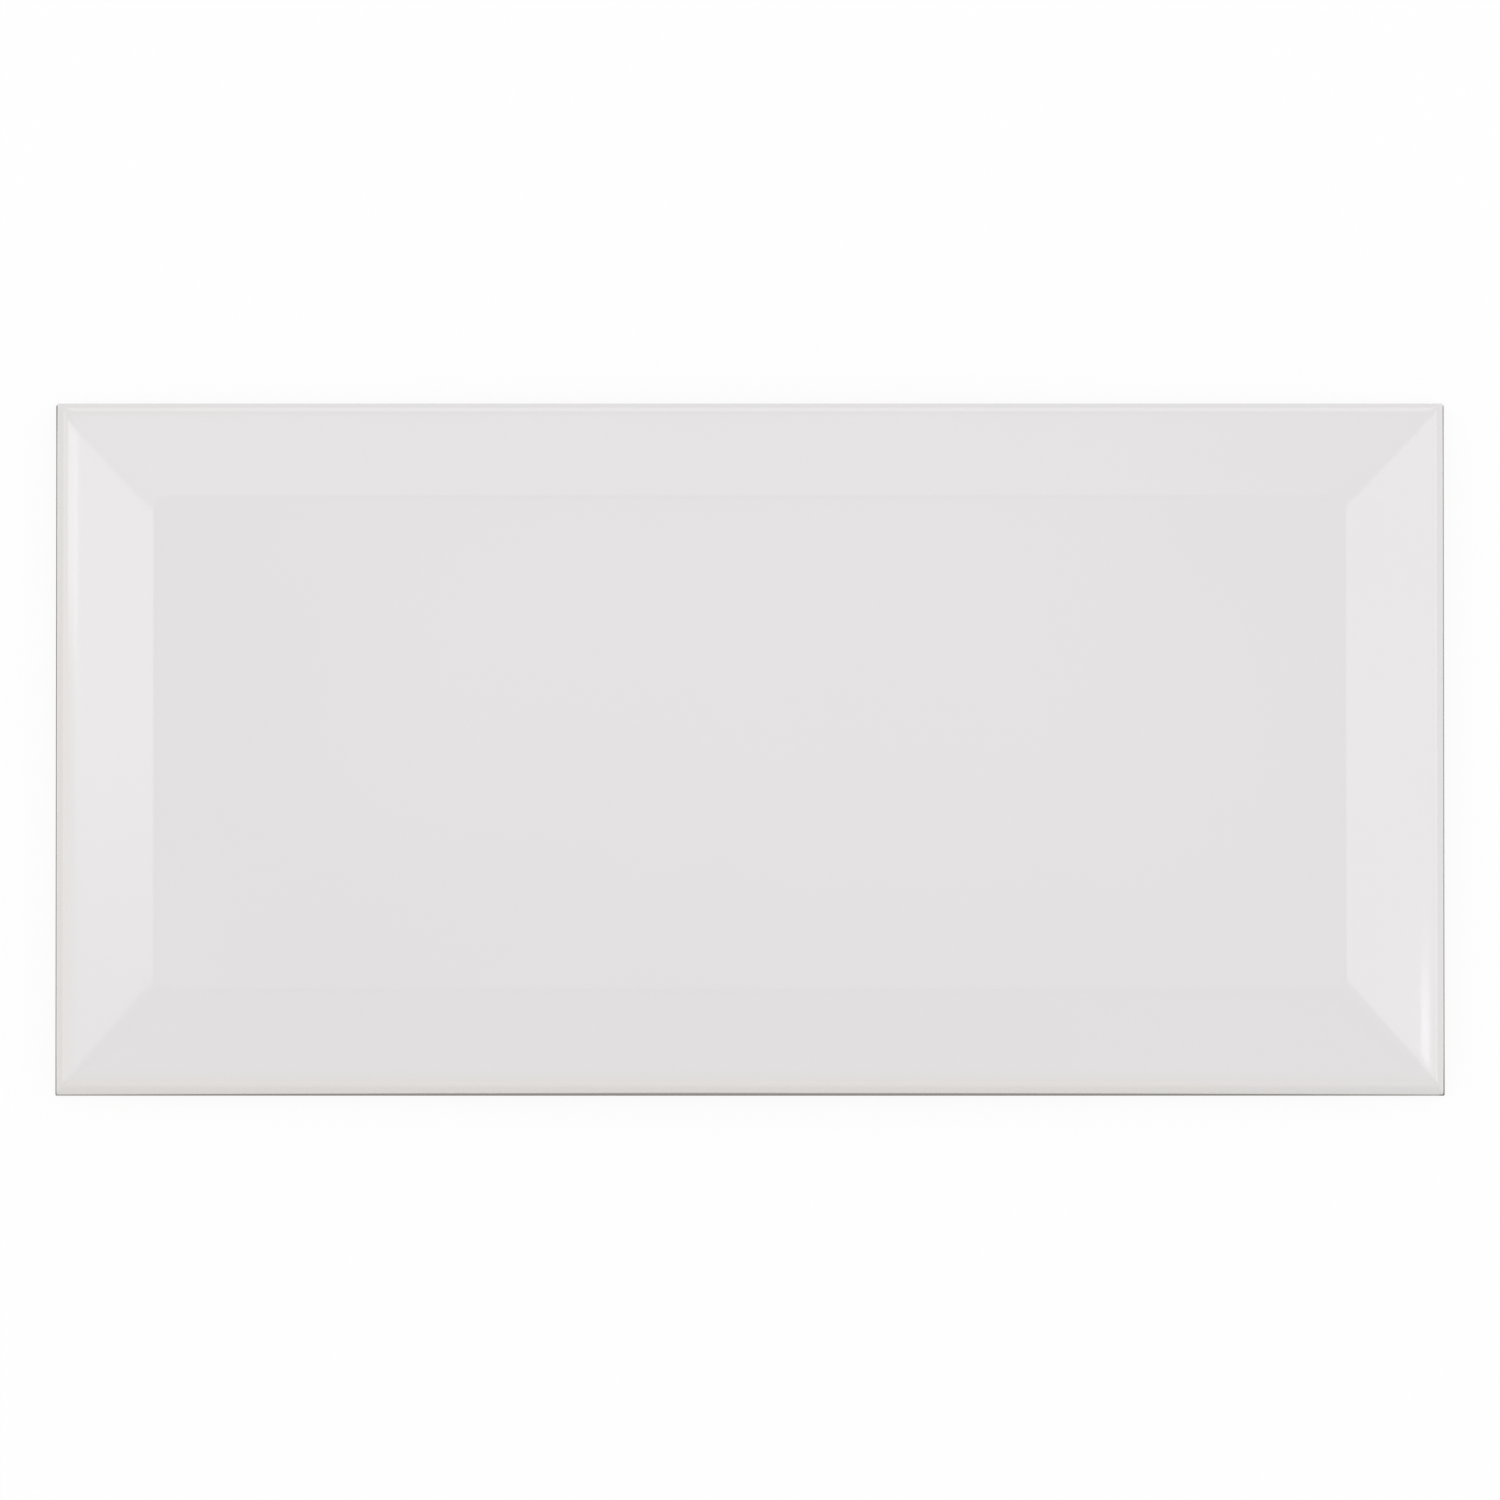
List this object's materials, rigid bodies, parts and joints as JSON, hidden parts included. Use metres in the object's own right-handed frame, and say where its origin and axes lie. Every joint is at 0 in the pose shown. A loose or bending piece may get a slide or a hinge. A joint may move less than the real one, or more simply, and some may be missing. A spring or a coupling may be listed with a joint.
{
  "type": "bevelled subway wall tile",
  "caption": "Rectangular glazed ceramic wall tile, twice as long as wide, with a flat raised field, sloping bevels mitred at the corners and a keyed back for adhesive.",
  "frame": {"origin": "middle of the back face, on the plane the tile lies on", "axes": "+X along the length, +Y along the width, +Z out of the glazed face"},
  "size_m": [0.1524, 0.0762, 0.008],
  "materials": {
    "glazed_body": "gloss"
  },
  "bodies": {
    "root": {"wall_tile": "glazed_body"}
  },
  "joints": []
}
